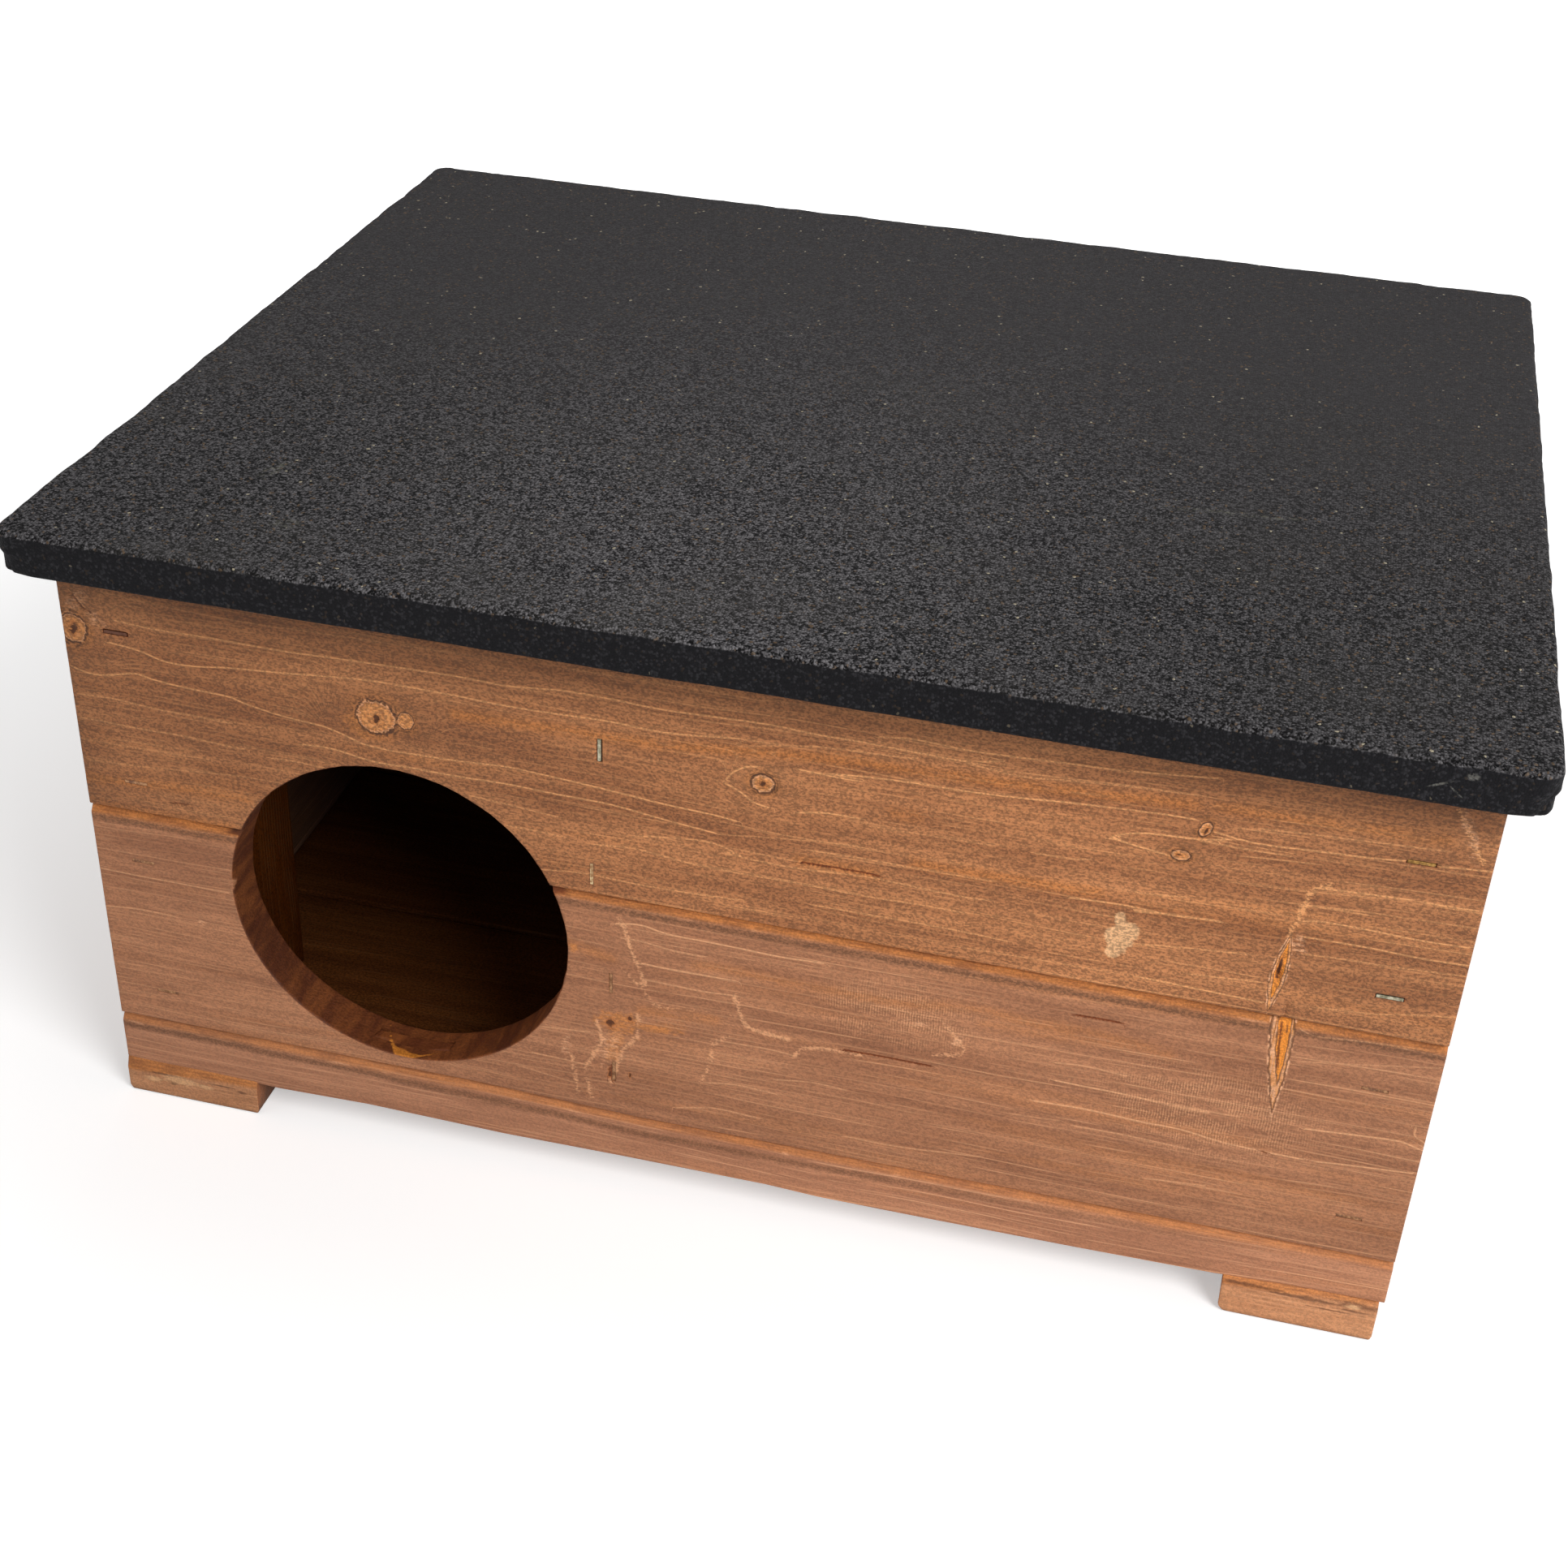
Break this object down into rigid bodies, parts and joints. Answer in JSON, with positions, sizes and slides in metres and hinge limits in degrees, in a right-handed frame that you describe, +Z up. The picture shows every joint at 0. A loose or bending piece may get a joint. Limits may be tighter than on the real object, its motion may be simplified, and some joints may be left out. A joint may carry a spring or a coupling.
{
  "type": "hedgehog house",
  "caption": "Free-standing wooden house for a hedgehog: a box of stained boards with a round way in, an inner partition, low feet and a felted flat roof hinged along its back edge.",
  "frame": {"origin": "on the ground, under the middle of the whole object's box", "axes": "+X to the right as seen from the front, +Y from the front with the way in towards the hinged back, +Z up"},
  "size_m": [0.524, 0.426, 0.2601],
  "materials": {
    "stained_wood": "spruce board with knots under a thin reddish brown stain, matt",
    "post_wood": "planed spruce batten under a thin golden stain, matt",
    "plywood": "bare plywood, matt",
    "roofing_felt": "bitumen felt with dark grey mineral granules, matt",
    "zinc": "zinc plated steel, satin",
    "staple_steel": "galvanised staple wire, slightly rusted"
  },
  "bodies": {
    "body": {"front_bottom_strip": "stained_wood", "front_middle_board": "stained_wood", "front_top_board": "stained_wood", "left_bottom_strip": "stained_wood", "left_middle_board": "stained_wood", "left_top_board": "stained_wood", "right_bottom_strip": "stained_wood", "right_middle_board": "stained_wood", "right_top_board": "stained_wood", "back_bottom_strip": "stained_wood", "back_middle_board": "stained_wood", "back_top_board": "stained_wood", "floor_board_1": "stained_wood", "floor_board_2": "stained_wood", "floor_board_3": "stained_wood", "floor_board_4": "stained_wood", "partition_lower_board": "stained_wood", "partition_upper_board": "stained_wood", "partition_batten": "post_wood", "corner_post_front_left": "post_wood", "corner_post_front_right": "post_wood", "corner_post_back_left": "post_wood", "corner_post_back_right": "post_wood", "foot_front_left": "stained_wood", "foot_front_right": "stained_wood", "foot_back_left": "stained_wood", "foot_back_right": "stained_wood", "front_staple_left_1": "staple_steel", "front_staple_left_2": "staple_steel", "front_staple_left_3": "staple_steel", "front_staple_left_4": "staple_steel", "front_staple_right_1": "staple_steel", "front_staple_right_2": "staple_steel", "front_staple_right_3": "staple_steel", "front_staple_right_4": "staple_steel", "front_staple_middle_1": "staple_steel", "front_staple_middle_2": "staple_steel", "front_staple_middle_3": "staple_steel", "front_staple_middle_4": "staple_steel", "left_hinge_wall_leaf": "zinc", "left_hinge_pin": "zinc", "left_hinge_wall_screw_1": "zinc", "left_hinge_wall_screw_2": "zinc", "right_hinge_wall_leaf": "zinc", "right_hinge_pin": "zinc", "right_hinge_wall_screw_1": "zinc", "right_hinge_wall_screw_2": "zinc"},
    "roof": {"roof_deck": "plywood", "roofing_felt": "roofing_felt", "left_hinge_roof_leaf": "zinc", "left_hinge_roof_screw_1": "zinc", "left_hinge_roof_screw_2": "zinc", "right_hinge_roof_leaf": "zinc", "right_hinge_roof_screw_1": "zinc", "right_hinge_roof_screw_2": "zinc"}
  },
  "joints": [
    {"name": "roof_hinge", "type": "hinge", "parent": "body", "child": "roof", "pos_m": [0, 0.21065, 0.24565], "axis": [-1, 0, 0], "range_deg": [0, 175]}
  ]
}
